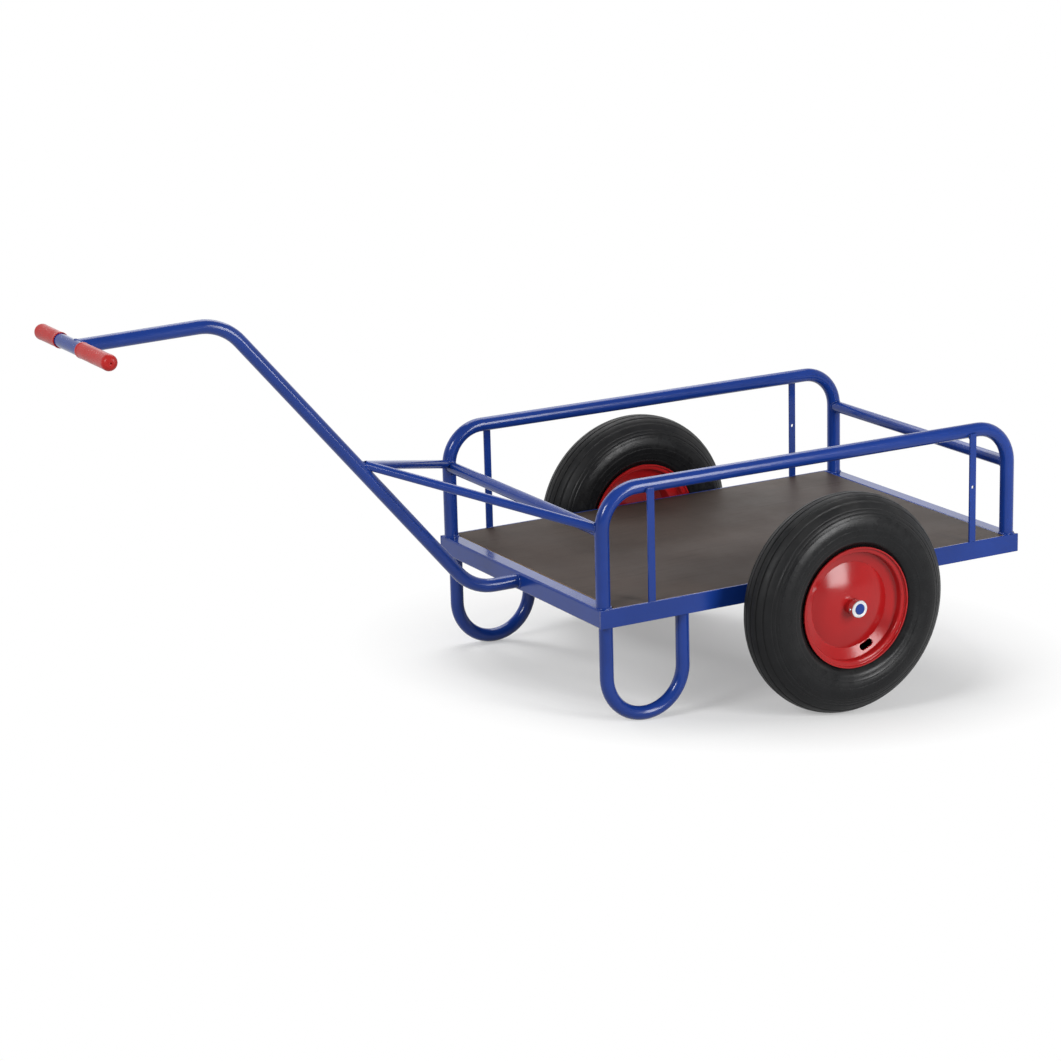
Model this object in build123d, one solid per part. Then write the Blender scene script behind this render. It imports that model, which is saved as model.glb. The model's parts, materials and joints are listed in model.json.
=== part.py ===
from build123d import *
import os
from math import acos, atan2, cos, degrees, hypot, radians, sin, sqrt

# Hand cart with a tubular drawbar, two side hoops, a plywood deck and two pneumatic wheels, in millimetres.
# Everything is drawn with the deck level: x forwards from the load frame's front face, y to the left,
# z up from the deck's top. The finished cart is then set down as it parks, on its tyres and foot loops.

# Load frame
FRAME_LENGTH = 900.0
FRAME_WIDTH = 600.0
FRAME_HEIGHT = 34.0
END_WIDTH = 30.0  # box section across the front and the rear
END_WALL = 2.5
END_CORNER = 4.0
SIDE_WALL = 4.0  # angle section along each side, leg outside
SIDE_FLANGE = 34.0
BEARER_COUNT = 3
BEARER_WIDTH = 25.0
BEARER_WALL = 2.0
BEARER_CORNER = 3.0
DECK_THICKNESS = 12.0
DECK_GAP = 0.5

# Side hoops with their flat bars, and the bars between the hoops
HOOP_TUBE = 26.0
HOOP_WALL = 2.5
HOOP_INSET = 17.0  # tube axis from the frame's side face
RAIL_HEIGHT = 207.0  # tube axis above the deck
HOOP_BEND = 70.0
FLAT_WIDTH = 14.0
FLAT_FROM_END = 105.0
FLAT_BELOW_RAIL = 2.0
FLAT_HOLE = 6.0
FLAT_HOLE_HEIGHT = 104.0
CROSS_TUBE = 22.0
CROSS_WALL = 2.0
CROSS_HEIGHT = 136.0

# Drawbar, its two braces and the T-handle
DRAWBAR_TUBE = 25.0
DRAWBAR_WALL = 2.5
DRAWBAR_BEND = 95.0
DRAWBAR_ANGLE = 49.7
DRAWBAR_STUB = 91.0  # frame face to the lower bend's corner
DRAWBAR_TOP = 525.0  # upper bend's corner above the deck
HANDLE_REACH = 816.0  # handle's axis ahead of the frame face
HANDLE_HEIGHT = 517.5  # handle's axis above the deck
BRACE_TUBE = 16.0
BRACE_WALL = 2.0
BRACE_HEIGHT = 140.0  # at the hoop's post
BRACE_RUN = 328.0  # up the slope from the lower corner to where the braces meet
HANDLE_TUBE = 24.0
HANDLE_WALL = 2.0
HANDLE_LENGTH = 300.0
GRIP_DIAMETER = 28.0
GRIP_CAP = 10.0  # closed end beyond the handle's tube
GRIP_BARE_LEFT = 20.0  # bare tube between the drawbar and the grip
GRIP_BARE_RIGHT = 52.0

# Foot loops under the front
FOOT_TUBE = 25.0
FOOT_WALL = 2.5
FOOT_INSET = 20.0  # tube axis from the frame's side face
FOOT_SETBACK = 21.0  # front leg's axis behind the frame's front face
FOOT_SPAN = 156.0  # between the two legs' axes
FOOT_DEPTH = 220.0  # deck top to the loop's lowest point

# Axle, its hangers and the set collars that keep the wheels
AXLE_DIAMETER = 20.0
AXLE_BEHIND_MIDDLE = 13.0  # behind the middle of the load frame
AXLE_DROP = 45.3  # below the deck's top
AXLE_PROUD = 1.5
AXLE_CHAMFER = 1.5
HANGER_THICKNESS = 6.0
HANGER_INSET = 17.0
HANGER_TOP = 80.0
HANGER_RADIUS = 18.0
COLLAR_DIAMETER = 32.0
COLLAR_WIDTH = 14.0
COLLAR_CHAMFER = 1.0
COLLAR_SCREW = 6.0
SLIP = 0.05  # radial, collar or hub on the axle
END_FLOAT = 0.3

# Wheels
TYRE_CLEARANCE = 14.0  # frame's side face to the tyre
TYRE_DIAMETER = 405.0
TYRE_WIDTH = 100.0
TYRE_SIDE_WALL = 7.0
TYRE_CROWN_WALL = 9.0
TYRE_SHOULDER_RADIUS = 183.0
TYRE_SHOULDER_HALF = 38.0
TYRE_WIDEST_RADIUS = 152.0
GROOVE_WIDTH = 2.5
GROOVE_DEPTH = 2.5
GROOVE_PITCH = 12.0
GROOVE_COUNT = 6
BEAD_GAP = 0.2
BEAD_WIDTH = 9.0
RIM_SHEET = 2.5
RIM_LIP_DIAMETER = 221.5
RIM_LIP_REACH = 42.0  # lip's edge from the wheel's middle plane
RIM_FLANGE_HALF = 36.0
RIM_SEAT_RADIUS = 100.5
RIM_SEAT_WIDTH = 13.0
RIM_WELL_RADIUS = 79.0
RIM_WELL_HALF = 16.0
RIM_DOME = 13.0  # disc's rise from the well to the axle
RIM_BEND = 3.0
VALVE_SLOT_LENGTH = 28.0
VALVE_SLOT_WIDTH = 13.0
VALVE_SLOT_RADIUS = 87.0
VALVE_SLOT_ANGLE = 24.0  # behind straight down
HUB_DIAMETER = 30.0
HUB_LENGTH = 75.0

SIDES = (("left", 1), ("right", -1))  # name, side of the centre line
ENDS = (("front", 0.0, -1), ("rear", -FRAME_LENGTH, 1))  # name, end face's x, direction inwards

# Places worked out from the sizes above
INNER_HALF = FRAME_WIDTH / 2 - SIDE_WALL
HOOP_Y = FRAME_WIDTH / 2 - HOOP_INSET
FOOT_Y = FRAME_WIDTH / 2 - FOOT_INSET
FOOT_BEND = FOOT_SPAN / 2
FOOT_CENTRE_X = -FOOT_SETBACK - FOOT_BEND
FOOT_CENTRE_Z = -FOOT_DEPTH + FOOT_TUBE / 2 + FOOT_BEND
STUB_Z = -FRAME_HEIGHT / 2
SLOPE = (cos(radians(DRAWBAR_ANGLE)), sin(radians(DRAWBAR_ANGLE)))  # along x, along z
SLOPE_RUN = (DRAWBAR_TOP - STUB_Z) / SLOPE[1]
HANDLE_HALF = HANDLE_LENGTH / 2
GRIP_END = HANDLE_HALF + GRIP_CAP
AXLE_SETBACK = FRAME_LENGTH / 2 + AXLE_BEHIND_MIDDLE
WHEEL_Y = FRAME_WIDTH / 2 + TYRE_CLEARANCE + TYRE_WIDTH / 2
COLLAR_Y = HUB_LENGTH / 2 + END_FLOAT + COLLAR_WIDTH / 2  # from the wheel's middle plane
AXLE_HALF = WHEEL_Y + COLLAR_Y + COLLAR_WIDTH / 2 + AXLE_PROUD
RIM_SEAT_OUTER = RIM_SEAT_RADIUS + RIM_SHEET / 2
RIM_FLANGE_INNER = RIM_FLANGE_HALF - RIM_SHEET / 2


def rod(path, diameter):
    """Solid round bar along a path."""
    return sweep(Plane(path @ 0, z_dir=path % 0) * Circle(diameter / 2), path)


def tube(path, diameter, wall):
    """Round tube along a path."""
    return rod(path, diameter) - rod(path, diameter - 2 * wall)


def box_section(width, height, wall, corner):
    """Outline of a rectangular tube with rounded corners, centred."""
    inner = RectangleRounded(width - 2 * wall, height - 2 * wall, corner - wall)
    return RectangleRounded(width, height, corner) - inner


def box_tube(width, height, wall, corner, half_length, x, z):
    """Rectangular tube across the cart, centred at x and z."""
    section = Plane.XZ * box_section(width, height, wall, corner)
    return Pos(x, 0, z) * extrude(section, half_length, both=True)


def end_member(face_x, inwards):
    """Box section across one end of the frame."""
    x = face_x + inwards * END_WIDTH / 2
    return box_tube(END_WIDTH, FRAME_HEIGHT, END_WALL, END_CORNER, INNER_HALF, x, -FRAME_HEIGHT / 2)


def side_member(side):
    """Angle section along one side, its flange notched round the end members."""
    between = FRAME_LENGTH - 2 * END_WIDTH
    leg = Box(FRAME_LENGTH, SIDE_WALL, FRAME_HEIGHT, align=(Align.CENTER, Align.MAX, Align.MAX))
    flange = Box(between, SIDE_FLANGE, SIDE_WALL, align=(Align.CENTER, Align.MAX, Align.MIN))
    angle = leg + Pos(0, 0, -FRAME_HEIGHT) * flange
    angle = Pos(-FRAME_LENGTH / 2, FRAME_WIDTH / 2, 0) * angle
    return angle if side > 0 else mirror(angle, Plane.XZ)


def bearer(index):
    """Box section under the deck, lying on both side flanges."""
    height = FRAME_HEIGHT - SIDE_WALL - DECK_THICKNESS
    x = -FRAME_LENGTH * (index + 1) / (BEARER_COUNT + 1)
    z = -DECK_THICKNESS - height / 2
    return box_tube(BEARER_WIDTH, height, BEARER_WALL, BEARER_CORNER, INNER_HALF - DECK_GAP, x, z)


def deck_panel():
    """Plywood panel, flush between the frame's members."""
    length = FRAME_LENGTH - 2 * END_WIDTH - 2 * DECK_GAP
    width = 2 * (INNER_HALF - DECK_GAP)
    top = (Align.CENTER, Align.CENTER, Align.MAX)
    return Pos(-FRAME_LENGTH / 2, 0, 0) * Box(length, width, DECK_THICKNESS, align=top)


def hoop_path(side):
    """Axis of one inverted U from the rear member over to the front one."""
    rear_x = -FRAME_LENGTH + END_WIDTH / 2
    front_x = -END_WIDTH / 2
    y = side * HOOP_Y
    corners = ((rear_x, y, 0), (rear_x, y, RAIL_HEIGHT), (front_x, y, RAIL_HEIGHT), (front_x, y, 0))
    return FilletPolyline(*corners, radius=HOOP_BEND)


def cross_path(face_x, inwards):
    """Axis of the round bar between two posts at one end."""
    x = face_x + inwards * END_WIDTH / 2
    return Line((x, -HOOP_Y, CROSS_HEIGHT), (x, HOOP_Y, CROSS_HEIGHT))


def flat_bar(side, face_x, inwards, drilled):
    """Flat bar on the side member's edge, up against the rail's flank."""
    height = RAIL_HEIGHT - FLAT_BELOW_RAIL
    bar = Box(FLAT_WIDTH, SIDE_WALL, height, align=(Align.CENTER, Align.CENTER, Align.MIN))
    if drilled:
        bar -= Pos(0, 0, FLAT_HOLE_HEIGHT) * Rot(X=90) * Cylinder(FLAT_HOLE / 2, 2 * SIDE_WALL)
    y = side * (FRAME_WIDTH - SIDE_WALL) / 2
    return Pos(face_x + inwards * FLAT_FROM_END, y, 0) * bar


def drawbar_path():
    """Axis of the drawbar from the frame's face up to the handle's axis."""
    lower = (DRAWBAR_STUB, 0, STUB_Z)
    upper = (DRAWBAR_STUB + SLOPE_RUN * SLOPE[0], 0, DRAWBAR_TOP)
    return FilletPolyline((0, 0, STUB_Z), lower, upper, (HANDLE_REACH, 0, HANDLE_HEIGHT), radius=DRAWBAR_BEND)


def handle_path():
    """Axis of the handle's cross tube."""
    start = (HANDLE_REACH, -HANDLE_HALF, HANDLE_HEIGHT)
    return Line(start, (HANDLE_REACH, HANDLE_HALF, HANDLE_HEIGHT))


def brace_path(side):
    """Axis from a front post to the drawbar's upper surface."""
    lift = DRAWBAR_TUBE / 2
    meet_x = DRAWBAR_STUB + BRACE_RUN * SLOPE[0] - lift * SLOPE[1]
    meet_z = STUB_Z + BRACE_RUN * SLOPE[1] + lift * SLOPE[0]
    return Line((-END_WIDTH / 2, side * HOOP_Y, BRACE_HEIGHT), (meet_x, 0, meet_z))


def brace(side):
    """Brace with its ends coped to the post, the cross bar, the drawbar and the other brace."""
    reach = 2 * FRAME_WIDTH
    own_half = Box(reach, reach, reach, align=(Align.CENTER, Align.MIN if side > 0 else Align.MAX, Align.CENTER))
    blank = tube(brace_path(side), BRACE_TUBE, BRACE_WALL) & own_half
    name, face_x, inwards = ENDS[0]
    cope = (rod(hoop_path(side), HOOP_TUBE), rod(cross_path(face_x, inwards), CROSS_TUBE))
    return blank - cope[0] - cope[1] - rod(drawbar_path(), DRAWBAR_TUBE)


def grip(side, bare):
    """Plastic grip with a domed closed end, from the bare tube beside the drawbar to the handle's end."""
    length = GRIP_END - DRAWBAR_TUBE / 2 - bare
    body = Cylinder(GRIP_DIAMETER / 2, length, align=(Align.CENTER, Align.CENTER, Align.MAX))
    body = fillet(body.edges().group_by(Axis.Z)[-1], GRIP_CAP)
    body -= Pos(0, 0, -GRIP_CAP) * Cylinder(HANDLE_TUBE / 2, length, align=(Align.CENTER, Align.CENTER, Align.MAX))
    return Pos(HANDLE_REACH, side * GRIP_END, HANDLE_HEIGHT) * Rot(X=-90 * side) * body


def foot_path(side):
    """Axis of one foot loop, from leg to leg round the half circle."""
    y = side * FOOT_Y
    front_x = FOOT_CENTRE_X + FOOT_BEND
    rear_x = FOOT_CENTRE_X - FOOT_BEND
    front_top = (front_x, y, -FRAME_HEIGHT)
    rear_top = (rear_x, y, -FRAME_HEIGHT)
    front = Line(front_top, (front_x, y, FOOT_CENTRE_Z))
    bend = ThreePointArc(front @ 1, (FOOT_CENTRE_X, y, FOOT_CENTRE_Z - FOOT_BEND), (rear_x, y, FOOT_CENTRE_Z))
    return front + bend + Line(bend @ 1, rear_top)


def axle():
    """Round axle bar with chamfered ends."""
    bar = Cylinder(AXLE_DIAMETER / 2, 2 * AXLE_HALF)
    bar = chamfer(bar.edges().filter_by(GeomType.CIRCLE), AXLE_CHAMFER)
    return Pos(-AXLE_SETBACK, 0, -AXLE_DROP) * Rot(X=90) * bar


def hanger(side):
    """Plate under a side flange that holds the axle."""
    top = Line((-HANGER_TOP / 2, AXLE_DROP - FRAME_HEIGHT), (HANGER_TOP / 2, AXLE_DROP - FRAME_HEIGHT))
    round_end = CenterArc((0, 0), HANGER_RADIUS, 180, 180)
    outline = make_hull([top, round_end]) - Circle(AXLE_DIAMETER / 2 + SLIP)
    plate = extrude(Plane.XZ * outline, HANGER_THICKNESS / 2, both=True)
    return Pos(-AXLE_SETBACK, side * (FRAME_WIDTH / 2 - HANGER_INSET), -AXLE_DROP) * plate


def set_collar():
    """Set collar with its grub screw hole, along y."""
    ring = Cylinder(COLLAR_DIAMETER / 2, COLLAR_WIDTH)
    ring = chamfer(ring.edges().filter_by(GeomType.CIRCLE), COLLAR_CHAMFER)
    ring -= Cylinder(AXLE_DIAMETER / 2 + SLIP, COLLAR_WIDTH)
    screw = Rot(Y=90) * Cylinder(COLLAR_SCREW / 2, COLLAR_DIAMETER, align=(Align.CENTER, Align.CENTER, Align.MIN))
    return Rot(X=90) * (ring - screw)


def crown_radius(offset):
    """Tyre's outer radius over the tread at an offset from its middle plane."""
    rise = TYRE_DIAMETER / 2 - TYRE_SHOULDER_RADIUS
    arc = (TYRE_SHOULDER_HALF**2 + rise**2) / (2 * rise)
    return TYRE_DIAMETER / 2 - arc + sqrt(arc**2 - offset**2)


def tyre():
    """Hollow carcass, open at the beads, with ribs between round grooves; x is the radius, y the axle."""
    seat = RIM_SEAT_OUTER + BEAD_GAP
    heel = RIM_FLANGE_INNER - BEAD_GAP
    toe = heel - BEAD_WIDTH
    bead_top = RIM_LIP_DIAMETER / 2 + BEAD_GAP
    widest = TYRE_WIDTH / 2
    flank = ThreePointArc((bead_top, heel), (TYRE_WIDEST_RADIUS, widest), (TYRE_SHOULDER_RADIUS, TYRE_SHOULDER_HALF))
    crown = ThreePointArc(flank @ 1, (TYRE_DIAMETER / 2, 0), (TYRE_SHOULDER_RADIUS, -TYRE_SHOULDER_HALF))
    inside_top = (TYRE_SHOULDER_RADIUS - TYRE_CROWN_WALL, TYRE_SHOULDER_HALF - TYRE_SIDE_WALL)
    inside_flank = ThreePointArc((bead_top, toe), (TYRE_WIDEST_RADIUS, widest - TYRE_SIDE_WALL), inside_top)
    inside_crown = ThreePointArc(
        inside_top, (TYRE_DIAMETER / 2 - TYRE_CROWN_WALL, 0), (inside_top[0], -inside_top[1])
    )
    bead = Polyline(
        (bead_top, heel), (seat + RIM_BEND, heel), (seat, heel - RIM_BEND), (seat, toe), (bead_top, toe)
    )
    half = [flank, inside_flank, bead]
    outline = half + [mirror(edge, Plane.XZ) for edge in half] + [crown, inside_crown]
    carcass = revolve(make_face(outline), Axis.Y)
    for index in range(GROOVE_COUNT):
        offset = (index - (GROOVE_COUNT - 1) / 2) * GROOVE_PITCH
        cut = Pos(crown_radius(offset), offset) * Rectangle(2 * GROOVE_DEPTH, GROOVE_WIDTH)
        carcass -= revolve(cut, Axis.Y)
    return carcass


def dome_height(radius):
    """Place of the rim disc's middle surface along the axle at a radius."""
    sphere = (RIM_WELL_RADIUS**2 + RIM_DOME**2) / (2 * RIM_DOME)
    return RIM_WELL_HALF + RIM_DOME - sphere + sqrt(sphere**2 - radius**2)


def rim():
    """Pressed rim with a domed disc and the valve's slot in the wall outside it; y is the axle, outwards."""
    lip = (RIM_LIP_DIAMETER - RIM_SHEET) / 2
    seat_end = RIM_FLANGE_HALF - RIM_SEAT_WIDTH
    half = (
        (lip, RIM_LIP_REACH),
        (lip, RIM_FLANGE_HALF),
        (RIM_SEAT_RADIUS, RIM_FLANGE_HALF),
        (RIM_SEAT_RADIUS, seat_end),
        (RIM_WELL_RADIUS, RIM_WELL_HALF),
    )
    inner_half = tuple((radius, -offset) for radius, offset in reversed(half))
    channel = trace(FilletPolyline(*half, *inner_half, radius=RIM_BEND), RIM_SHEET)
    middle = RIM_WELL_RADIUS / 2
    disc = ThreePointArc((0, dome_height(0)), (middle, dome_height(middle)), (RIM_WELL_RADIUS, RIM_WELL_HALF))
    disc = split(trace(disc, RIM_SHEET), Plane.YZ.offset(HUB_DIAMETER / 2))
    pressing = revolve(channel + disc, Axis.Y)
    slot = extrude(SlotOverall(VALVE_SLOT_LENGTH, VALVE_SLOT_WIDTH), RIM_FLANGE_HALF)
    slot = Pos(0, RIM_FLANGE_HALF, -VALVE_SLOT_RADIUS) * Rot(X=90) * slot
    slot &= Pos(0, RIM_WELL_HALF, 0) * Box(FRAME_WIDTH, RIM_FLANGE_HALF, FRAME_WIDTH, align=(Align.CENTER, Align.MIN, Align.CENTER))
    return pressing - Rot(Y=VALVE_SLOT_ANGLE) * slot


def hub():
    """Hub tube on the axle, along y."""
    body = Cylinder(HUB_DIAMETER / 2, HUB_LENGTH) - Cylinder(AXLE_DIAMETER / 2 + SLIP, HUB_LENGTH)
    return Rot(X=90) * body


def build():
    """All pieces by name, with the deck level."""
    pieces = {"deck_panel": deck_panel(), "axle": axle()}
    for index in range(BEARER_COUNT):
        pieces[f"deck_bearer_{index + 1}"] = bearer(index)
    for name, face_x, inwards in ENDS:
        pieces[f"frame_{name}"] = end_member(face_x, inwards)
        cross = tube(cross_path(face_x, inwards), CROSS_TUBE, CROSS_WALL)
        for side_name, side in SIDES:
            cross -= rod(hoop_path(side), HOOP_TUBE)
        pieces[f"cross_bar_{name}"] = cross
    handle_rod = rod(handle_path(), HANDLE_TUBE)
    pieces["drawbar"] = tube(drawbar_path(), DRAWBAR_TUBE, DRAWBAR_WALL) - handle_rod
    pieces["handle_tube"] = tube(handle_path(), HANDLE_TUBE, HANDLE_WALL)
    bare_tube = {"left": GRIP_BARE_LEFT, "right": GRIP_BARE_RIGHT}
    wheel = {"tyre": tyre(), "rim": rim(), "hub": hub()}
    collar = set_collar()
    for name, side in SIDES:
        pieces[f"frame_side_{name}"] = side_member(side)
        pieces[f"hoop_{name}"] = tube(hoop_path(side), HOOP_TUBE, HOOP_WALL)
        for end_name, face_x, inwards in ENDS:
            pieces[f"flat_bar_{end_name}_{name}"] = flat_bar(side, face_x, inwards, end_name == "rear")
        pieces[f"brace_{name}"] = brace(side)
        pieces[f"grip_{name}"] = grip(side, bare_tube[name])
        pieces[f"foot_loop_{name}"] = tube(foot_path(side), FOOT_TUBE, FOOT_WALL)
        pieces[f"axle_hanger_{name}"] = hanger(side)
        facing = Pos(-AXLE_SETBACK, side * WHEEL_Y, -AXLE_DROP) * Rot(Z=0 if side > 0 else 180)
        for piece, shape in wheel.items():
            pieces[f"{piece}_{name}"] = facing * shape
        pieces[f"collar_inner_{name}"] = facing * Pos(0, -COLLAR_Y, 0) * collar
        pieces[f"collar_outer_{name}"] = facing * Pos(0, COLLAR_Y, 0) * collar
    return pieces


def parked_angle():
    """Nose-down angle at which tyres and foot loops both touch level ground, in degrees."""
    back = FOOT_CENTRE_X + AXLE_SETBACK
    rise = -AXLE_DROP - FOOT_CENTRE_Z
    difference = TYRE_DIAMETER / 2 - (FOOT_BEND + FOOT_TUBE / 2)
    return degrees(atan2(back, rise) - acos(difference / hypot(back, rise)))


def parked(pieces):
    """The pieces set down on the ground, with the origin under the middle of the whole cart."""
    angle = parked_angle()
    turned = {name: Rot(Y=angle) * shape for name, shape in pieces.items()}
    boxes = [shape.bounding_box() for shape in turned.values()]
    middle_x = (min(box.min.X for box in boxes) + max(box.max.X for box in boxes)) / 2
    axle_z = sin(radians(angle)) * AXLE_SETBACK - cos(radians(angle)) * AXLE_DROP
    place = Pos(-middle_x, 0, TYRE_DIAMETER / 2 - axle_z)
    return {name: place * shape for name, shape in turned.items()}


os.makedirs("parts", exist_ok=True)
for part_name, part_shape in parked(build()).items():
    export_step(part_shape, f"parts/{part_name}.step")
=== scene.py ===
"""Two-wheeled hand cart: finishes, welds, tyres, grips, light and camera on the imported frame."""

import json
import logging
import math
from collections.abc import Sequence
from dataclasses import dataclass, field
from enum import Enum

import bmesh
import bpy
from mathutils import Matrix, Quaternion, Vector


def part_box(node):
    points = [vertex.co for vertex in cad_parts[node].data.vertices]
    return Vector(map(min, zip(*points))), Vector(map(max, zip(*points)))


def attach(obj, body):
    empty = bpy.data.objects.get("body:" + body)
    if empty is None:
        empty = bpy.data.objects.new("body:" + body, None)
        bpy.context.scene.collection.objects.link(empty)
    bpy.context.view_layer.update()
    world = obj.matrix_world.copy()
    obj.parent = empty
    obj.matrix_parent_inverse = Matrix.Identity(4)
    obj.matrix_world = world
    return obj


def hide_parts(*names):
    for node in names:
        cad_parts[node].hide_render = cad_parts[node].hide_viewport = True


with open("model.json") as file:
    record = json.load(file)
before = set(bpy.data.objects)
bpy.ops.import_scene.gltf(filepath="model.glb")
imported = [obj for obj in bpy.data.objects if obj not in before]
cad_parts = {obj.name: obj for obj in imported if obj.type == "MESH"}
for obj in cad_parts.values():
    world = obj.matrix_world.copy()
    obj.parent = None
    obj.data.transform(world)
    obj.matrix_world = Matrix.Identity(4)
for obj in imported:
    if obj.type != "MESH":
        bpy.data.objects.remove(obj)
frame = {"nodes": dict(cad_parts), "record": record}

LOG = logging.getLogger("hand_cart")
MM = 0.001
FULL_TURN = 2 * math.pi
TINY = 1e-9
ACROSS = Vector((0.0, 1.0, 0.0))

Colour = tuple[float, float, float, float]
Triple = tuple[float, float, float]
Pair = tuple[float, float]
Profile = list[Pair]
Points = list[Vector]
Work = bmesh.types.BMesh
Node = bpy.types.Node
Socket = bpy.types.NodeSocket
Tree = bpy.types.NodeTree

WHITE: Colour = (1.0, 1.0, 1.0, 1.0)
MID_GREY: Colour = (0.5, 0.5, 0.5, 1.0)
DARK_GREY: Colour = (0.3, 0.3, 0.3, 1.0)


class Slot(Enum):
    """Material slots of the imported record."""

    PAINT = "paint_blue"
    DECK = "deck_plywood"
    RIM = "rim_red"
    TYRE = "tyre_rubber"
    GRIP = "grip_red"
    ZINC = "zinc"


class Body(Enum):
    """Bodies that a piece can ride on."""

    CHASSIS = "chassis"
    WHEEL_LEFT = "wheel_left"
    WHEEL_RIGHT = "wheel_right"


class Side(Enum):
    """Sides of the cart, with their direction along y."""

    LEFT = 1
    RIGHT = -1

    @property
    def label(self) -> str:
        """Name used in the pieces' names."""
        return self.name.lower()

    @property
    def wheel(self) -> Body:
        """Wheel body on this side."""
        return Body.WHEEL_LEFT if self is Side.LEFT else Body.WHEEL_RIGHT

    @property
    def outwards(self) -> Vector:
        """Direction out from the cart's middle."""
        return Vector((0.0, self.value, 0.0))


class End(Enum):
    """Ends of the load frame."""

    FRONT = "front"
    REAR = "rear"


class Effect(Enum):
    """Effects that more than one finish shares, by the names of their node groups."""

    COAT = "sprayed_coat"
    DUST = "settled_dust"
    GRAIN = "moulded_grain"
    SCUFFS = "fine_scuffs"


@dataclass(frozen=True)
class Stance:
    """How the cart, drawn with its deck level, sits on the ground.

    The drawing has x forwards from the load frame's front face, y to the left and z up from the
    deck's top, in millimetres; the ground frame is in metres.
    """

    tilt: float
    origin: Vector

    @classmethod
    def from_record(cls, record: dict, frame_length: float) -> "Stance":
        """Reads the stance from the deck's mount.

        Args:
            record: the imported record.
            frame_length: length of the load frame in millimetres, with the deck's middle at half of it.

        Returns:
            The stance.
        """
        mount = next(m for m in record["mounts"] if m["name"] == "deck_top")
        normal = Vector(mount["axis"])
        tilt = math.atan2(normal.x, normal.z)
        along = Vector((math.cos(tilt), 0.0, -math.sin(tilt)))
        return cls(tilt, Vector(mount["pos_m"]) + along * frame_length / 2 * MM)

    @property
    def up(self) -> Vector:
        """Direction square to the deck."""
        return self.direction(0.0, 0.0, 1.0)

    def direction(self, x: float, y: float, z: float) -> Vector:
        """Turns a direction of the level drawing into the ground frame."""
        cos, sin = math.cos(self.tilt), math.sin(self.tilt)
        return Vector((x * cos + z * sin, y, -x * sin + z * cos))

    def point(self, x: float, y: float, z: float) -> Vector:
        """Turns a point of the level drawing, in millimetres, into the ground frame, in metres."""
        return self.origin + self.direction(x, y, z) * MM


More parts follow.
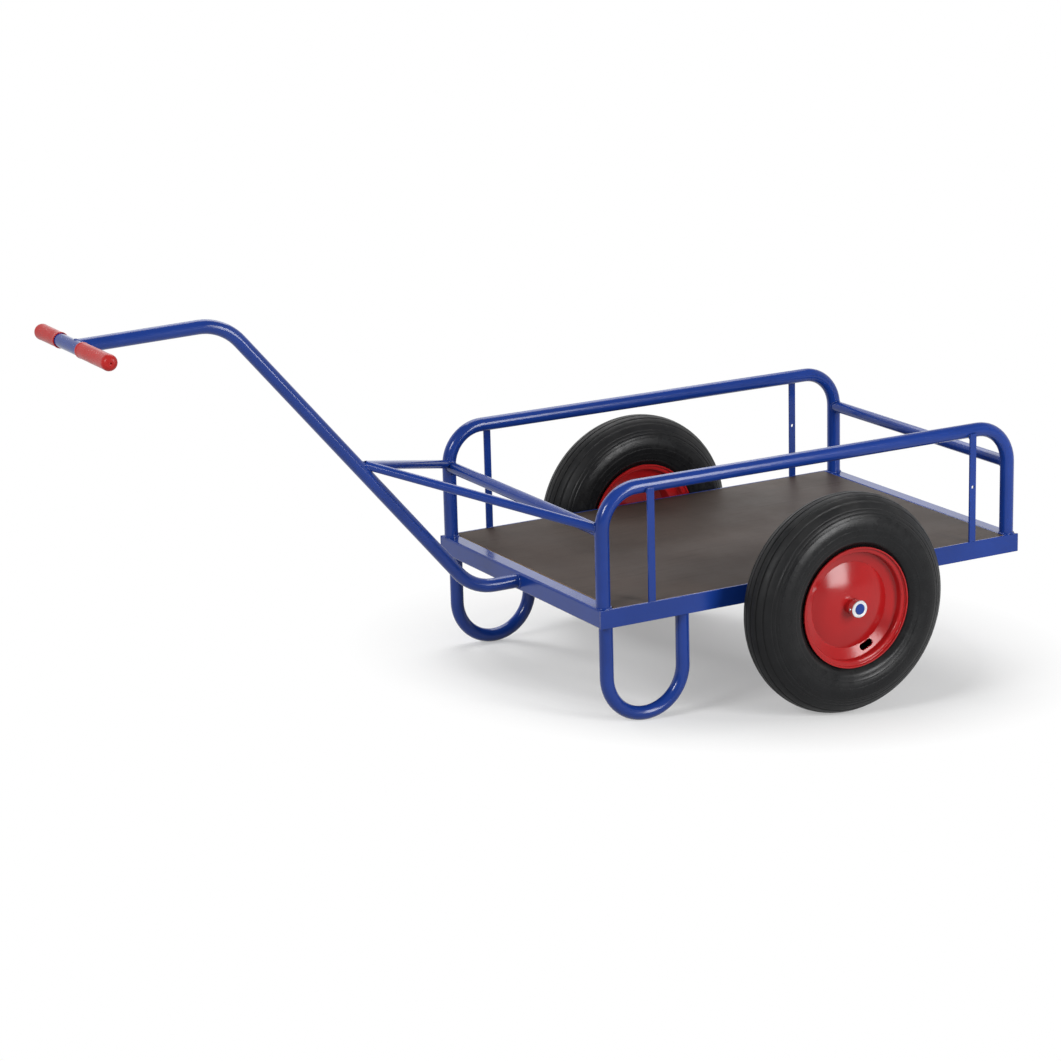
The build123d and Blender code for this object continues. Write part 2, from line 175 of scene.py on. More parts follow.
class NodeBoard:
    """Adds and joins the nodes of one shader tree."""

    def __init__(self, tree: Tree) -> None:
        """Keeps the tree that the nodes go into."""
        self.tree = tree

    def add(self, kind: str, inputs: dict | None = None, **settings: object) -> Node:
        """Adds one node.

        Args:
            kind: Blender's name of the node type.
            inputs: what goes into its inputs, as feed takes it.
            settings: properties of the node.

        Returns:
            The new node.
        """
        node = self.tree.nodes.new(kind)
        for key, value in settings.items():
            setattr(node, key, value)
        self.feed(node, inputs or {})
        return node

    def feed(self, node: Node, inputs: dict) -> None:
        """Links or sets inputs of a node.

        Args:
            node: the node.
            inputs: a socket to link, or else a value to set, by the input's name or number.
        """
        for key, value in inputs.items():
            if isinstance(value, Socket):
                self.tree.links.new(value, node.inputs[key])
            else:
                node.inputs[key].default_value = value

    def group(self, effect: Effect, inputs: dict) -> bpy.types.NodeOutputs:
        """Places a shared group with its own inputs and gives its outputs."""
        return self.add("ShaderNodeGroup", inputs, node_tree=bpy.data.node_groups[effect.value]).outputs

    def math(self, operation: str, first: object, second: object = 0.0) -> Socket:
        """Works out one number from one or two."""
        return self.add("ShaderNodeMath", {0: first, 1: second}, operation=operation).outputs[0]

    def measure(self, operation: str, vector: Socket, other: Triple) -> Socket:
        """Works out one number from two vectors."""
        return self.add("ShaderNodeVectorMath", {0: vector, 1: other}, operation=operation).outputs["Value"]

    def spread(
        self, value: object, low: float, high: float, to_low: float = 0.0, to_high: float = 1.0
    ) -> Socket:
        """Maps a value's range onto another, clamped.

        Args:
            value: number or socket to map.
            low: value that gives to_low.
            high: value that gives to_high.
            to_low: result at low.
            to_high: result at high.

        Returns:
            The mapped value's socket.
        """
        inputs = {"Value": value, "From Min": low, "From Max": high, "To Min": to_low, "To Max": to_high}
        return self.add("ShaderNodeMapRange", inputs, clamp=True).outputs["Result"]

    def blend(self, factor: object, first: object, second: object) -> Socket:
        """Mixes two colours by a factor; the mix node's sockets share names, so they go by number."""
        return self.add("ShaderNodeMix", {0: factor, 6: first, 7: second}, data_type="RGBA").outputs[2]

    def between(self, factor: object, first: object, second: object) -> Socket:
        """Mixes two numbers by a factor; the mix node's sockets share names, so they go by number."""
        return self.add("ShaderNodeMix", {0: factor, 2: first, 3: second}, data_type="FLOAT").outputs[0]

    def shader_mix(self, factor: object, first: Socket, second: Socket) -> Socket:
        """Mixes two shaders by a factor."""
        return self.add("ShaderNodeMixShader", {0: factor, 1: first, 2: second}).outputs[0]

    def noise(self, vector: Socket, scale: object, detail: float = 2.0, rough: float = 0.5) -> Socket:
        """Adds a noise texture.

        Args:
            vector: coordinates.
            scale: number or socket, in waves per metre.
            detail: octaves.
            rough: weight of the finer octaves.

        Returns:
            The noise value's socket.
        """
        inputs = {"Vector": vector, "Scale": scale, "Detail": detail, "Roughness": rough}
        return self.add("ShaderNodeTexNoise", inputs).outputs[0]

    def place(self) -> Socket:
        """Coordinates that stay with the piece, in metres."""
        return self.add("ShaderNodeTexCoord").outputs["Object"]

    def stretch(self, vector: Socket, scale: Triple) -> Socket:
        """Scales coordinates along each axis."""
        return self.add("ShaderNodeMapping", {"Vector": vector, "Scale": scale}).outputs[0]

    def component(self, vector: Socket, axis: str) -> Socket:
        """One part of a vector: X, Y or Z."""
        return self.add("ShaderNodeSeparateXYZ", {0: vector}).outputs[axis]

    def facing_up(self) -> Socket:
        """How far the surface faces up, from -1 underneath to 1 on top."""
        return self.component(self.add("ShaderNodeNewGeometry").outputs["Normal"], "Z")

    def bump(self, height: Socket, strength: float, depth: float) -> Socket:
        """Turns a height into a normal, as a bump of that depth in metres."""
        inputs = {"Height": height, "Strength": strength, "Distance": depth}
        return self.add("ShaderNodeBump", inputs).outputs["Normal"]


class GroupShelf:
    """Shader node groups that more than one finish uses, each built once."""

    DUST_DULLING = 0.5

    def build(self) -> None:
        """Builds every group."""
        self._sprayed_coat()
        self._settled_dust()
        self._moulded_grain()
        self._fine_scuffs()

    @staticmethod
    def _start(
        effect: Effect, inputs: dict[str, object], outputs: Sequence[str]
    ) -> tuple[NodeBoard, bpy.types.NodeOutputs, Node]:
        """Opens a group with its sockets.

        Args:
            effect: the effect that the group makes.
            inputs: default values by socket name; a tuple makes a colour, a number a value.
            outputs: socket names; Color is a colour and the others are values.

        Returns:
            The board, the sockets that bring the inputs in and the node that takes the outputs.
        """
        tree = bpy.data.node_groups.new(effect.value, "ShaderNodeTree")
        for label, default in inputs.items():
            kind = "NodeSocketColor" if isinstance(default, tuple) else "NodeSocketFloat"
            tree.interface.new_socket(label, in_out="INPUT", socket_type=kind).default_value = default
        for label in outputs:
            kind = "NodeSocketColor" if label == "Color" else "NodeSocketFloat"
            tree.interface.new_socket(label, in_out="OUTPUT", socket_type=kind)
        board = NodeBoard(tree)
        return board, board.add("NodeGroupInput").outputs, board.add("NodeGroupOutput")

    def _sprayed_coat(self) -> None:
        """Baked paint: slow change of tone, uneven gloss and orange peel."""
        inputs = {"Tone": MID_GREY, "Deep": DARK_GREY, "Roughness": 0.3, "Peel": 300.0}
        board, given, out = self._start(Effect.COAT, inputs, ("Color", "Roughness", "Height"))
        place = board.place()
        pooling = board.spread(board.noise(place, scale=11.0, detail=3.0), low=0.34, high=0.66)
        patches = board.noise(place, scale=24.0)
        unevenness = board.spread(patches, low=0.3, high=0.7, to_low=-0.02, to_high=0.025)
        results = {
            "Color": board.blend(pooling, given["Tone"], given["Deep"]),
            "Roughness": board.math("ADD", given["Roughness"], unevenness),
            "Height": board.noise(place, given["Peel"], detail=1.5),
        }
        board.feed(out, results)

    def _settled_dust(self) -> None:
        """Dust that lies in patches on what faces up."""
        inputs = {"Color": MID_GREY, "Dust": MID_GREY, "Amount": 0.1, "Roughness": 0.5}
        board, given, out = self._start(Effect.DUST, inputs, ("Color", "Roughness"))
        up = board.spread(board.facing_up(), low=-0.1, high=1.0)
        specks = board.noise(board.place(), scale=26.0, detail=6.0, rough=0.62)
        patches = board.spread(specks, low=0.36, high=0.72)
        mask = board.math("MULTIPLY", board.math("MULTIPLY", up, patches), given["Amount"])
        dulling = board.math("MULTIPLY", mask, self.DUST_DULLING)
        results = {
            "Color": board.blend(mask, given["Color"], given["Dust"]),
            "Roughness": board.math("ADD", given["Roughness"], dulling),
        }
        board.feed(out, results)

    def _moulded_grain(self) -> None:
        """Moulded rubber or vinyl: mottled tone and a fine pebbled skin."""
        inputs = {"Tone": MID_GREY, "Deep": DARK_GREY, "Pebble": 900.0}
        board, given, out = self._start(Effect.GRAIN, inputs, ("Color", "Height"))
        place = board.place()
        mottle = board.spread(board.noise(place, scale=38.0, detail=5.0, rough=0.6), low=0.32, high=0.68)
        cells = board.add("ShaderNodeTexVoronoi", {"Vector": place, "Scale": given["Pebble"]})
        swell = board.noise(place, scale=160.0, detail=3.0)
        results = {
            "Color": board.blend(mottle, given["Tone"], given["Deep"]),
            "Height": board.math("ADD", cells.outputs["Distance"], swell),
        }
        board.feed(out, results)

    def _fine_scuffs(self) -> None:
        """Hair scratches and rubbed patches on a smooth sheet or turned metal."""
        inputs = {"Roughness": 0.3, "Amount": 0.1}
        board, given, out = self._start(Effect.SCUFFS, inputs, ("Roughness", "Height"))
        place = board.place()
        along = self._hairs(board, board.stretch(place, (7.0, 260.0, 60.0)), low=0.6, high=0.72)
        across = self._hairs(board, board.stretch(place, (220.0, 9.0, 60.0)), low=0.63, high=0.74)
        hairs = board.math("MAXIMUM", along, across)
        rubbed = board.spread(board.noise(place, scale=8.0, detail=4.0, rough=0.6), low=0.38, high=0.7)
        worn = board.math("MULTIPLY", board.math("ADD", hairs, rubbed), given["Amount"])
        board.feed(out, {"Roughness": board.math("ADD", given["Roughness"], worn), "Height": hairs})

    @staticmethod
    def _hairs(board: NodeBoard, streaks: Socket, low: float, high: float) -> Socket:
        """Hair scratches that run the way the coordinates are stretched."""
        return board.spread(board.noise(streaks, scale=1.0, detail=3.0, rough=0.7), low, high)


class Finish:
    """A finish that makes one procedural material."""

    name: str

    def make(self) -> bpy.types.Material:
        """Builds the material.

        Returns:
            The finished material.
        """
        material = bpy.data.materials.new(self.name)
        material.use_nodes = True
        board = NodeBoard(material.node_tree)
        board.feed(material.node_tree.nodes["Principled BSDF"], self.shade(board))
        return material

    def shade(self, board: NodeBoard) -> dict[str, object]:
        """Builds the finish's own nodes and gives what goes into the shader's inputs."""
        raise NotImplementedError


@dataclass(frozen=True, kw_only=True)
class DustySkin(Finish):
    """A skin of two close tones, under a trace of dust."""

    name: str
    tone: Colour
    deep: Colour
    roughness: float
    specular: float
    dust_amount: float
    dust: Colour = (0.33, 0.31, 0.29, 1.0)

    def dusted(self, board: NodeBoard, colour: Socket, roughness: Socket) -> dict[str, object]:
        """Lays the dust on the skin.

        Args:
            board: the material's nodes.
            colour: the skin's colour.
            roughness: the skin's roughness.

        Returns:
            What goes into the shader's inputs.
        """
        inputs = {"Color": colour, "Dust": self.dust, "Amount": self.dust_amount, "Roughness": roughness}
        dust = board.group(Effect.DUST, inputs)
        return {
            "Base Color": dust["Color"],
            "Roughness": dust["Roughness"],
            "Specular IOR Level": self.specular,
        }


@dataclass(frozen=True, kw_only=True)
class BakedPaint(DustySkin):
    """Baked coat on steel, in one colour."""

    peel: float
    peel_depth: float
    peel_strength: float = 0.35

    def shade(self, board: NodeBoard) -> dict[str, object]:
        """Coat with orange peel, under the dust.

        Args:
            board: the material's nodes.

        Returns:
            What goes into the shader's inputs.
        """
        inputs = {"Tone": self.tone, "Deep": self.deep, "Roughness": self.roughness, "Peel": self.peel}
        coat = board.group(Effect.COAT, inputs)
        skin = self.dusted(board, coat["Color"], coat["Roughness"])
        return skin | {"Normal": board.bump(coat["Height"], self.peel_strength, self.peel_depth)}


@dataclass(frozen=True, kw_only=True)
class Moulding(DustySkin):
    """Moulded rubber or vinyl."""

    pebble: float
    pebble_depth: float
    pebble_strength: float = 0.4
    unevenness: float = 0.06

    def shade(self, board: NodeBoard) -> dict[str, object]:
        """Mottled skin with a fine pebble, under the dust.

        Args:
            board: the material's nodes.

        Returns:
            What goes into the shader's inputs.
        """
        inputs = {"Tone": self.tone, "Deep": self.deep, "Pebble": self.pebble}
        grain = board.group(Effect.GRAIN, inputs)
        skin = self.dusted(board, grain["Color"], self.wear(board))
        return skin | {"Normal": board.bump(grain["Height"], self.pebble_strength, self.pebble_depth)}

    def wear(self, board: NodeBoard) -> Socket:
        """Roughness of the skin, uneven from handling.

        Args:
            board: the material's nodes.

        Returns:
            The roughness.
        """
        patches = board.noise(board.place(), scale=60.0, detail=4.0)
        smooth, rough = self.roughness - self.unevenness, self.roughness + self.unevenness
        return board.spread(patches, low=0.3, high=0.7, to_low=smooth, to_high=rough)


@dataclass(frozen=True, kw_only=True)
class TyreRubber(Moulding):
    """Tyre rubber, duller where it rolls than on its flanks; radii in millimetres."""

    axle: Vector
    flank_radius: float
    tread_radius: float
    dulling: float

    def wear(self, board: NodeBoard) -> Socket:
        """Roughness of the skin, higher from the shoulder out.

        Args:
            board: the material's nodes.

        Returns:
            The roughness.
        """
        upright = board.stretch(board.place(), (1.0, 0.0, 1.0))
        radius = board.measure("DISTANCE", upright, (self.axle.x, 0.0, self.axle.z))
        low, high = self.flank_radius * MM, self.tread_radius * MM
        scrubbed = board.spread(radius, low, high, to_high=self.dulling)
        return board.math("ADD", super().wear(board), scrubbed)


@dataclass(frozen=True, kw_only=True)
class FilmPlywood(Finish):
    """Plywood with a dark smooth film, and bare veneers at its edges; ply in millimetres."""

    name: str
    tone: Colour
    deep: Colour
    streak: Colour
    pale_veneer: Colour
    dark_veneer: Colour
    roughness: float
    specular: float
    ply: float
    tilt: float
    face_from: float = 0.6
    grain_relief: float = 0.6
    scuffing: float = 0.08
    relief_strength: float = 0.12
    relief_depth: float = 0.0004

    def shade(self, board: NodeBoard) -> dict[str, object]:
        """Film with the veneer's grain showing through, scuffs and layered edges.

        Args:
            board: the material's nodes.

        Returns:
            What goes into the shader's inputs.
        """
        place = board.place()
        grain = board.noise(board.stretch(place, (3.0, 95.0, 95.0)), scale=1.0, detail=4.0, rough=0.65)
        flat = board.math("GREATER_THAN", board.math("ABSOLUTE", board.facing_up()), self.face_from)
        scuffs = board.group(Effect.SCUFFS, {"Roughness": self.roughness, "Amount": self.scuffing})
        relief = board.math("MULTIPLY", grain, self.grain_relief)
        height = board.math("SUBTRACT", relief, scuffs["Height"])
        return {
            "Base Color": board.blend(flat, self.edge(board, place), self.film(board, place, grain)),
            "Roughness": scuffs["Roughness"],
            "Specular IOR Level": self.specular,
            "Normal": board.bump(height, self.relief_strength, self.relief_depth),
        }

    def film(self, board: NodeBoard, place: Socket, grain: Socket) -> Socket:
        """Colour of the film.

        Args:
            board: the material's nodes.
            place: coordinates.
            grain: the veneer's grain.

        Returns:
            The colour.
        """
        cloud = board.spread(board.noise(place, scale=5.0, detail=5.0, rough=0.6), low=0.35, high=0.68)
        streaks = board.spread(grain, low=0.5, high=0.78, to_high=0.5)
        return board.blend(streaks, board.blend(cloud, self.tone, self.deep), self.streak)

    def edge(self, board: NodeBoard, place: Socket) -> Socket:
        """Colour of the bare edge, with pale and dark veneers in turn.

        Args:
            board: the material's nodes.
            place: coordinates.

        Returns:
            The colour.
        """
        inputs = {"Vector": place, "Angle": -self.tilt}
        level = board.add("ShaderNodeVectorRotate", inputs, rotation_type="Y_AXIS").outputs[0]
        pairs_per_metre = 0.5 / (self.ply * MM)
        layer = board.math("FRACT", board.math("MULTIPLY", board.component(level, "Z"), pairs_per_metre))
        return board.blend(board.math("GREATER_THAN", layer, 0.5), self.pale_veneer, self.dark_veneer)


@dataclass(frozen=True, kw_only=True)
class BrightZinc(Finish):
    """Zinc plate on turned steel."""

    name: str
    tone: Colour
    deep: Colour
    roughness: float
    scuffing: float = 0.12
    mark_strength: float = 0.15
    mark_depth: float = 0.0002

    def shade(self, board: NodeBoard) -> dict[str, object]:
        """Bright plate with turning marks.

        Args:
            board: the material's nodes.

        Returns:
            What goes into the shader's inputs.
        """
        clouding = board.spread(board.noise(board.place(), scale=120.0, detail=3.0), low=0.3, high=0.7)
        scuffs = board.group(Effect.SCUFFS, {"Roughness": self.roughness, "Amount": self.scuffing})
        return {
            "Base Color": board.blend(clouding, self.tone, self.deep),
            "Metallic": 1.0,
            "Roughness": scuffs["Roughness"],
            "Normal": board.bump(scuffs["Height"], self.mark_strength, self.mark_depth),
        }


def stand(name: str, data: bpy.types.ID) -> bpy.types.Object:
    """Puts a new object into the scene.

    Args:
        name: the object's name.
        data: its mesh, lamp or camera.

    Returns:
        The object.
    """
    thing = bpy.data.objects.new(name, data)
    bpy.context.scene.collection.objects.link(thing)
    return thing


def finished_mesh(name: str, work: Work) -> bpy.types.Mesh:
    """Turns a working mesh into a smooth-shaded one with its faces outwards.

    Args:
        name: the mesh's name.
        work: the working mesh, which is freed.

    Returns:
        The mesh.
    """
    bmesh.ops.recalc_face_normals(work, faces=work.faces)
    for face in work.faces:
        face.smooth = True
    mesh = bpy.data.meshes.new(name)
    work.to_mesh(mesh)
    work.free()
    return mesh


@dataclass
class Workshop:
    """Stance and materials, and the ways to put pieces on the cart; sizes in millimetres."""

    stance: Stance
    materials: dict[Slot, bpy.types.Material]
    join_distance: float = 0.01
    bevel_segments: int = 2
    bevel_from: float = 40.0

    def dress(self, slot: Slot, *nodes: str, edge: float = 0.0) -> None:
        """Gives solids of the frame their finish.

        Args:
            slot: the finish's slot.
            nodes: names of the solids.
            edge: radius that takes the sharpness off their edges, or none.
        """
        for name in nodes:
            solid = frame["nodes"][name]
            for holder in solid.material_slots:
                holder.material = self.materials[slot]
            if edge:
                self.ease(solid, edge)
            LOG.info("dressed %s in %s", name, slot.value)

    def ease(self, solid: bpy.types.Object, edge: float) -> None:
        """Takes the sharpness off a solid's edges.

        Args:
            solid: the solid.
            edge: radius of the edges.
        """
        solid.modifiers.new("closed", "WELD").merge_threshold = self.join_distance * MM
        bevel = solid.modifiers.new("eased_edges", "BEVEL")
        bevel.width = edge * MM
        bevel.segments = self.bevel_segments
        bevel.limit_method = "ANGLE"
        bevel.angle_limit = math.radians(self.bevel_from)
        bevel.harden_normals = True

    def piece(self, name: str, work: Work, body: Body, slot: Slot, *stands_for: str) -> None:
        """Puts a new piece on the cart.

        Args:
            name: the piece's name.
            work: its working mesh, in the ground frame.
            body: the body that it rides on.
            slot: its finish's slot.
            stands_for: solids that it is shown for.
        """
        mesh = finished_mesh(name, work)
        mesh.materials.append(self.materials[slot])
        piece = stand(name, mesh)
        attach(piece, body.value)
        if stands_for:
            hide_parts(*stands_for)
        LOG.info("added %s, %d faces, on %s", name, len(mesh.polygons), body.value)


def add_loft(work: Work, rings: Sequence[Points], closed: bool) -> None:
    """Skins a row of rings with quads.

    Args:
        work: the mesh that takes the faces.
        rings: rings of equally many points, in metres.
        closed: whether the last ring joins the first; open rows get end caps.
    """
    rows = [[work.verts.new(point) for point in ring] for ring in rings]
    count = len(rows)
    for index in range(count if closed else count - 1):
        row, following = rows[index], rows[(index + 1) % count]
        for step in range(len(row)):
            after = (step + 1) % len(row)
            work.faces.new((row[step], row[after], following[after], following[step]))
    if not closed:
        work.faces.new(rows[0])
        work.faces.new(list(reversed(rows[-1])))


def turned(profile: Profile, centre: Vector, steps: int) -> Work:
    """Turns a closed outline round an axis along y.

    Args:
        profile: closed outline as radius and place along the axis, in millimetres.
        centre: the axis' middle, in metres.
        steps: divisions of the full turn.

    Returns:
        The working mesh.
    """
    work = bmesh.new()
    rings = []
    for step in range(steps):
        angle = FULL_TURN * step / steps
        cos, sin = math.cos(angle), math.sin(angle)
        rings.append([centre + Vector((radius * cos, along, radius * sin)) * MM for radius, along in profile])
    add_loft(work, rings, closed=True)
    return work


def circle(centre: Vector, first: Vector, second: Vector, radius: float, steps: int) -> Points:
    """Points round a centre, in the plane of two directions."""
    angles = (FULL_TURN * step / steps for step in range(steps))
    return [centre + (first * math.cos(angle) + second * math.sin(angle)) * radius for angle in angles]


def arc_through(start: Pair, middle: Pair, end: Pair, steps: int) -> Profile:
    """Points along the arc through three points.

    Args:
        start: first point.
        middle: a point on the arc.
        end: last point.
        steps: number of divisions.

    Returns:
        The points, both ends included.
    """
    (ax, ay), (bx, by), (cx, cy) = start, middle, end
    turn = 2 * (ax * (by - cy) + bx * (cy - ay) + cx * (ay - by))
    a2, b2, c2 = ax * ax + ay * ay, bx * bx + by * by, cx * cx + cy * cy
    ox = (a2 * (by - cy) + b2 * (cy - ay) + c2 * (ay - by)) / turn
    oy = (a2 * (cx - bx) + b2 * (ax - cx) + c2 * (bx - ax)) / turn
    radius = math.hypot(ax - ox, ay - oy)
    first, mid, last = (math.atan2(y - oy, x - ox) for x, y in (start, middle, end))
    sweep = (last - first) % FULL_TURN
    if (mid - first) % FULL_TURN > sweep:
        sweep -= FULL_TURN
    angles = [first + sweep * step / steps for step in range(steps + 1)]
    return [(ox + radius * math.cos(angle), oy + radius * math.sin(angle)) for angle in angles]


@dataclass(frozen=True)
class Tube:
    """A straight round tube: a point of its axis in metres, its course, its diameter in millimetres."""

    point: Vector
    course: Vector
    diameter: float

    @property
    def radius(self) -> float:
        """Radius in metres."""
        return self.diameter / 2 * MM

    def ring(self, steps: int = 72) -> Points:
        """Circle round the tube at its point, where it stands square on a flat face."""
        first = self.course.orthogonal().normalized()
        return circle(self.point, first, self.course.normalized().cross(first), self.radius, steps)

    def seam_on(self, other: "Tube", steps: int = 96, narrowed: float = 0.999) -> Points:
        """Saddle seam where this tube, seen along its course, first meets another.

        Args:
            other: the tube that it ends on.
            steps: number of points.
            narrowed: most that this tube may measure, as a share of the other.

        Returns:
            The seam's points.
        """
        course, axis = self.course.normalized(), other.course.normalized()
        flat_course = course - axis * course.dot(axis)
        square = flat_course.length_squared
        seam = []
        for begin in Tube(self.point, course, min(self.diameter, other.diameter * narrowed)).ring(steps):
            reach = begin - other.point
            flat_reach = reach - axis * reach.dot(axis)
            slope = flat_course.dot(flat_reach)
            outside = flat_reach.length_squared - other.radius**2
            root = math.sqrt(max(slope**2 - square * outside, 0.0))
            seam.append(begin + course * ((-slope - root) / square))
        return seam


@dataclass
class WeldRun:
    """Fillet welds along seams, joined into one piece; sizes in millimetres."""

    throat: float = 2.4
    ripple: float = 0.16
    pitch: float = 3.2
    step: float = 0.9
    least_steps: int = 6
    sides: int = 8
    end_share: float = 0.35
    end_steps: float = 4.0
    work: Work = field(default_factory=bmesh.new)

    def along(self, seam: Points, closed: bool, throat: float | None = None) -> None:
        """Lays one bead along a seam.

        Args:
            seam: points of the seam in metres.
            closed: whether the seam comes back to its start.
            throat: radius of the bead, if not the usual one.
        """
        size = (throat or self.throat) * MM
        points = self._evenly(seam, closed)
        count = len(points)
        waves = max(1, round(count * self.step / self.pitch))
        rings = []
        for index, point in enumerate(points):
            before = points[index - 1] if closed or index else points[0]
            after = points[(index + 1) % count] if closed or index + 1 < count else points[-1]
            course = (after - before).normalized()
            first = course.orthogonal().normalized()
            phase = (index / count * waves) % 1.0
            radius = size * (1.0 - self.ripple * (2.0 * phase - 1.0) ** 2)
            if not closed:
                from_end = min(index, count - 1 - index)
                radius *= min(1.0, self.end_share + from_end / self.end_steps)
            rings.append(circle(point, first, course.cross(first), radius, self.sides))
        add_loft(self.work, self._untwisted(rings), closed)

    def _evenly(self, seam: Points, closed: bool) -> Points:
        """Divides a seam into even steps.

        Args:
            seam: points of the seam in metres.
            closed: whether the seam comes back to its start.

        Returns:
            The points at even steps.
        """
        route = seam + [seam[0]] if closed else seam
        lengths = [0.0]
        for first, second in zip(route, route[1:]):
            lengths.append(lengths[-1] + (second - first).length)
        count = max(self.least_steps, round(lengths[-1] / (self.step * MM)))
        points, place = [], 0
        for index in range(count if closed else count + 1):
            target = lengths[-1] * index / count
            while place + 2 < len(lengths) and lengths[place + 1] < target:
                place += 1
            share = (target - lengths[place]) / max(lengths[place + 1] - lengths[place], TINY)
            points.append(route[place].lerp(route[place + 1], min(1.0, share)))
        return points

    @staticmethod
    def _untwisted(rings: list[Points]) -> list[Points]:
        """Turns each ring so that its points follow the ring before.

        Args:
            rings: the rings in order.

        Returns:
            The turned rings.
        """
        straight = [rings[0]]
        for ring in rings[1:]:
            last = straight[-1]
            shift = min(range(len(ring)), key=lambda start: (ring[start] - last[0]).length)
            straight.append(ring[shift:] + ring[:shift])
        return straight


@dataclass
class LoadFrame:
    """Welded frame with the end boxes, the side angles, the bearers and the deck."""

    shop: Workshop
    length: float = 900.0
    width: float = 600.0
    height: float = 34.0
    end_width: float = 30.0
    side_wall: float = 4.0
    bearers: int = 3
    side_edge: float = 0.8
    deck_edge: float = 0.6
    weld_top: float = -14.0
    weld_throat: float = 1.8

    def build(self) -> None:
        """Dresses the members and lays the corner welds."""
        self.shop.dress(Slot.PAINT, "frame_front", "frame_rear")
        self.shop.dress(Slot.PAINT, "frame_side_left", "frame_side_right", edge=self.side_edge)
        self.shop.dress(Slot.PAINT, *(f"deck_bearer_{index + 1}" for index in range(self.bearers)))
        self.shop.dress(Slot.DECK, "deck_panel", edge=self.deck_edge)
        self.shop.piece("frame_welds", self.corner_welds(), Body.CHASSIS, Slot.PAINT)

    def from_end(self, end: End, distance: float) -> float:
        """Place along the cart at a distance inwards from one end."""
        return -distance if end is End.FRONT else -self.length + distance

    def from_side(self, side: Side, distance: float) -> float:
        """Place across the cart at a distance inwards from one side."""
        return side.value * (self.width / 2 - distance)

    def corner_welds(self) -> Work:
        """Beads inside the corners, where the end boxes meet the side angles.

        Returns:
            The working mesh.
        """
        run = WeldRun(throat=self.weld_throat)
        for side in Side:
            y = self.from_side(side, self.side_wall)
            for end in End:
                x = self.from_end(end, self.end_width)
                heights = (-self.height + self.side_wall, self.weld_top)
                run.along([self.shop.stance.point(x, y, z) for z in heights], closed=False)
        return run.work


@dataclass
class SideHoops:
    """Bent hoops with flat bars, and the round bars between them."""

    shop: Workshop
    load: LoadFrame
    tube: float = 26.0
    inset: float = 17.0
    rail_height: float = 207.0
    cross_tube: float = 22.0
    cross_height: float = 136.0
    cross_throat: float = 1.9
    flat_width: float = 14.0
    flat_from_end: float = 105.0
    flat_edge: float = 0.7
    foot_lift: float = 0.3
    foot_throat: float = 1.6
    rail_drop: float = 11.0
    rail_throat: float = 1.9
    flank_drops: Pair = (12.0, 3.0)
    flank_offset: float = 0.4
    flank_throat: float = 1.4

    def build(self) -> None:
        """Dresses the tubes and bars and lays their welds."""
        for side in Side:
            self.shop.dress(Slot.PAINT, f"hoop_{side.label}")
            for end in End:
                self.shop.dress(Slot.PAINT, f"flat_bar_{end.value}_{side.label}", edge=self.flat_edge)
        self.shop.dress(Slot.PAINT, "cross_bar_front", "cross_bar_rear")
        self.shop.piece("hoop_welds", self.welds(), Body.CHASSIS, Slot.PAINT)

    def post(self, side: Side, end: End, height: float) -> Tube:
        """One post of a hoop, with its point at a height."""
        x, y = self.load.from_end(end, self.load.end_width / 2), self.load.from_side(side, self.inset)
        return Tube(self.shop.stance.point(x, y, height), self.shop.stance.up, self.tube)

    def welds(self) -> Work:
        """Beads round the posts, the cross bars and the flat bars.

        Returns:
            The working mesh.
        """
        run = WeldRun()
        for side in Side:
            for end in End:
                run.along(self.post(side, end, 0.0).ring(), closed=True)
                x = self.load.from_end(end, self.load.end_width / 2)
                middle = self.shop.stance.point(x, 0.0, self.cross_height)
                post = self.post(side, end, self.cross_height)
                seam = Tube(middle, side.outwards, self.cross_tube).seam_on(post)
                run.along(seam, closed=True, throat=self.cross_throat)
                self.flat_bar_welds(run, side, end)
        return run.work

    def flat_bar_welds(self, run: WeldRun, side: Side, end: End) -> None:
        """Short beads at a flat bar's foot and under the rail.

        Args:
            run: the run that takes the beads.
            side: side of the cart.
            end: end of the cart.
        """
        point, rail = self.shop.stance.point, self.rail_height
        middle, half = self.load.from_end(end, self.flat_from_end), self.flat_width / 2
        edges = (middle - half, middle + half)
        y = self.load.from_side(side, self.load.side_wall)
        for z, throat in ((self.foot_lift, self.foot_throat), (rail - self.rail_drop, self.rail_throat)):
            run.along([point(x, y, z) for x in edges], closed=False, throat=throat)
        y += side.value * self.flank_offset
        for x in edges:
            line = [point(x, y, rail - drop) for drop in self.flank_drops]
            run.along(line, closed=False, throat=self.flank_throat)


